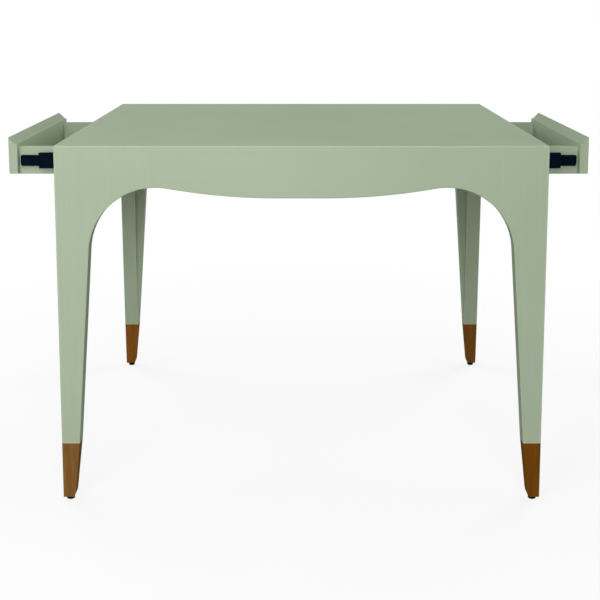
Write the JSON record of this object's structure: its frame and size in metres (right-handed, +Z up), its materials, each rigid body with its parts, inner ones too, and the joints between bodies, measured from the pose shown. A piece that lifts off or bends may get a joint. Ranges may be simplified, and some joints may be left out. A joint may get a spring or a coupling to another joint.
{
  "type": "games table",
  "caption": "Square painted games table with tapered corner legs on brown feet, curved aprons, and a shallow drawer on telescopic slides in each of two opposite sides.",
  "frame": {"origin": "on the floor under the centre of the table", "axes": "+X to the right, the way the right drawer opens; +Y away from the viewer; +Z up"},
  "size_m": [1.284, 1.016, 0.762],
  "materials": {
    "sage_paint": "satin sage green lacquer on wood",
    "stained_foot": "brown stained wood, satin",
    "bare_wood": "bare pale hardwood",
    "black_slide": "black coated steel sheet",
    "ball_steel": "bright steel",
    "zinc_screw": "zinc plated steel",
    "glide_plastic": "black hard plastic"
  },
  "bodies": {
    "table": {"apron_dowels": "bare_wood", "back_apron": "sage_paint", "back_left_corner_block": "bare_wood", "back_left_foot": "stained_foot", "back_left_leg_face_board": "sage_paint", "back_left_leg_side_board": "sage_paint", "back_right_corner_block": "bare_wood", "back_right_foot": "stained_foot", "back_right_leg_face_board": "sage_paint", "back_right_leg_side_board": "sage_paint", "back_runner_rail": "sage_paint", "block_screws": "zinc_screw", "cabinet_slide_screws": "black_slide", "centre_divider": "bare_wood", "divider_screws": "zinc_screw", "foot_dowels": "bare_wood", "front_apron": "sage_paint", "front_left_corner_block": "bare_wood", "front_left_foot": "stained_foot", "front_left_leg_face_board": "sage_paint", "front_left_leg_side_board": "sage_paint", "front_right_corner_block": "bare_wood", "front_right_foot": "stained_foot", "front_right_leg_face_board": "sage_paint", "front_right_leg_side_board": "sage_paint", "front_runner_rail": "sage_paint", "glides": "glide_plastic", "left_back_cabinet_member": "black_slide", "left_front_cabinet_member": "black_slide", "rail_blocks": "bare_wood", "right_back_cabinet_member": "black_slide", "right_front_cabinet_member": "black_slide", "table_top": "sage_paint", "top_screws": "zinc_screw"},
    "left_middles": {"left_front_middle_member": "black_slide", "left_back_middle_member": "black_slide"},
    "left_drawer": {"left_drawer_front": "sage_paint", "left_drawer_inner_end": "sage_paint", "left_drawer_bottom": "sage_paint", "left_drawer_dowels": "bare_wood", "left_drawer_slide_screws": "black_slide", "left_front_box_side": "sage_paint", "left_back_box_side": "sage_paint", "left_front_drawer_member": "black_slide", "left_back_drawer_member": "black_slide"},
    "left_outer_cages": {"left_outer_ball_cages": "ball_steel"},
    "left_inner_cages": {"left_inner_ball_cages": "ball_steel"},
    "right_middles": {"right_front_middle_member": "black_slide", "right_back_middle_member": "black_slide"},
    "right_drawer": {"right_drawer_front": "sage_paint", "right_drawer_inner_end": "sage_paint", "right_drawer_bottom": "sage_paint", "right_drawer_dowels": "bare_wood", "right_drawer_slide_screws": "black_slide", "right_front_box_side": "sage_paint", "right_back_box_side": "sage_paint", "right_front_drawer_member": "black_slide", "right_back_drawer_member": "black_slide"},
    "right_outer_cages": {"right_outer_ball_cages": "ball_steel"},
    "right_inner_cages": {"right_inner_ball_cages": "ball_steel"}
  },
  "joints": [
    {"name": "left_middle_slide", "type": "slide", "parent": "table", "child": "left_middles", "axis": [-1, 0, 0], "range_m": [-0.098, 0.102]},
    {"name": "left_drawer_slide", "type": "slide", "parent": "left_middles", "child": "left_drawer", "axis": [-1, 0, 0], "range_m": [-0.042, 0.158]},
    {"name": "left_outer_cage_slide", "type": "slide", "parent": "table", "child": "left_outer_cages", "axis": [-1, 0, 0], "range_m": [-0.049, 0.051]},
    {"name": "left_inner_cage_slide", "type": "slide", "parent": "left_middles", "child": "left_inner_cages", "axis": [-1, 0, 0], "range_m": [-0.021, 0.079]},
    {"name": "right_middle_slide", "type": "slide", "parent": "table", "child": "right_middles", "axis": [1, 0, 0], "range_m": [-0.091, 0.109]},
    {"name": "right_drawer_slide", "type": "slide", "parent": "right_middles", "child": "right_drawer", "axis": [1, 0, 0], "range_m": [-0.037, 0.163]},
    {"name": "right_outer_cage_slide", "type": "slide", "parent": "table", "child": "right_outer_cages", "axis": [1, 0, 0], "range_m": [-0.0455, 0.0545]},
    {"name": "right_inner_cage_slide", "type": "slide", "parent": "right_middles", "child": "right_inner_cages", "axis": [1, 0, 0], "range_m": [-0.0185, 0.0815]}
  ],
  "couplings": [
    {"joint": "left_outer_cage_slide", "follows": "left_middle_slide", "ratio": 0.5},
    {"joint": "left_inner_cage_slide", "follows": "left_drawer_slide", "ratio": 0.5},
    {"joint": "right_outer_cage_slide", "follows": "right_middle_slide", "ratio": 0.5},
    {"joint": "right_inner_cage_slide", "follows": "right_drawer_slide", "ratio": 0.5}
  ]
}
